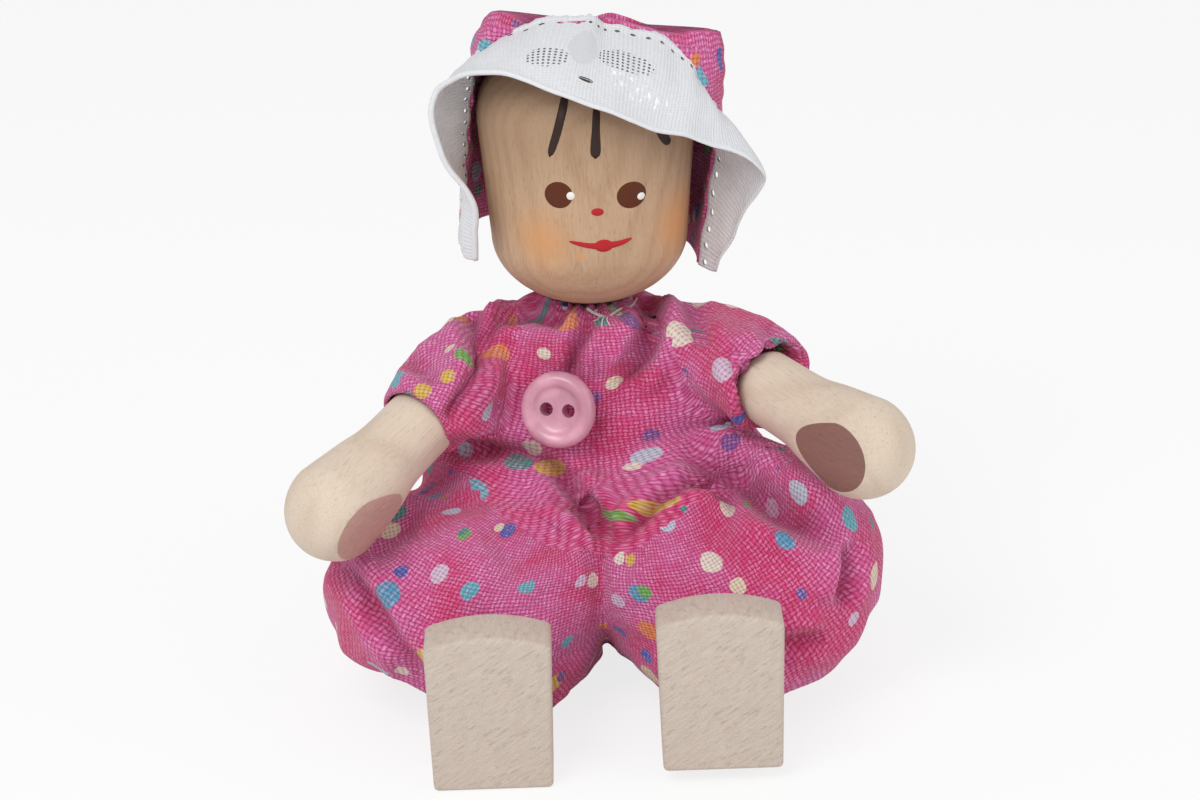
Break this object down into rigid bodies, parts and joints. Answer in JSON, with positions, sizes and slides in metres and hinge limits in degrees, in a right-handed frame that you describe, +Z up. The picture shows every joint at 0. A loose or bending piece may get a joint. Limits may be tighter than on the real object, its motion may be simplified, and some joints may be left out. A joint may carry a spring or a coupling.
{
  "type": "miniature doll",
  "caption": "Seated wooden doll strung on elastic, with a turning and nodding head and swinging limbs, in a gathered cotton romper with a button and a bag hat with a lace brim that lifts off.",
  "frame": {"origin": "middle of the seat's flat underside, under the doll's own axis", "axes": "+Z up along the torso, -Y the way the face looks, +X towards the doll's left hand"},
  "size_m": [0.0554, 0.0447, 0.0618],
  "materials": {
    "wood": "fine sanded, unvarnished",
    "string": "round elastic cord",
    "cotton": "plain weave, printed with small dots",
    "lace": "satin lace trim",
    "thread": "sewing thread",
    "plastic": "milky, polished"
  },
  "bodies": {
    "torso": {"torso": "wood", "shoulder_string": "string", "hip_string": "string", "romper_bodice": "cotton", "romper_seat": "cotton", "collar_thread": "thread", "button": "plastic"},
    "neck": {"neck_string": "string"},
    "head": {"head": "wood"},
    "hat": {"hat_crown": "cotton", "hat_brim": "lace"},
    "arm_left": {"arm_left": "wood", "arm_string_left": "string", "sleeve_left": "cotton"},
    "arm_right": {"arm_right": "wood", "arm_string_right": "string", "sleeve_right": "cotton"},
    "leg_left": {"leg_left": "wood", "foot_left": "wood", "trouser_left": "cotton", "cuff_thread_left": "thread"},
    "leg_right": {"leg_right": "wood", "foot_right": "wood", "trouser_right": "cotton", "cuff_thread_right": "thread"}
  },
  "joints": [
    {"name": "head_turn", "type": "hinge", "parent": "torso", "child": "neck", "pos_m": [0, 0, 0.033], "axis": [0, 0, 1], "range_deg": [-80, 80]},
    {"name": "head_nod", "type": "hinge", "parent": "neck", "child": "head", "pos_m": [0, 0, 0.03985], "axis": [1, 0, 0], "range_deg": [-8, 8]},
    {"name": "hat_lift", "type": "slide", "parent": "head", "child": "hat", "axis": [0.1305, 0, 0.9914], "range_m": [0, 0.026]},
    {"name": "arm_left_swing", "type": "hinge", "parent": "torso", "child": "arm_left", "pos_m": [0.0095, -0.0024, 0.0292], "axis": [-1, 0, 0], "range_deg": [-105, 100], "deforming": ["sleeve_left"]},
    {"name": "arm_right_swing", "type": "hinge", "parent": "torso", "child": "arm_right", "pos_m": [-0.0095, -0.0024, 0.0292], "axis": [-1, 0, 0], "range_deg": [-90, 115], "deforming": ["sleeve_right"]},
    {"name": "leg_left_swing", "type": "hinge", "parent": "torso", "child": "leg_left", "pos_m": [0.01, 0, 0.00575], "axis": [1, 0, 0], "range_deg": [-30, 95], "deforming": ["trouser_left"]},
    {"name": "leg_right_swing", "type": "hinge", "parent": "torso", "child": "leg_right", "pos_m": [-0.01, 0, 0.00575], "axis": [1, 0, 0], "range_deg": [-30, 95], "deforming": ["trouser_right"]}
  ]
}
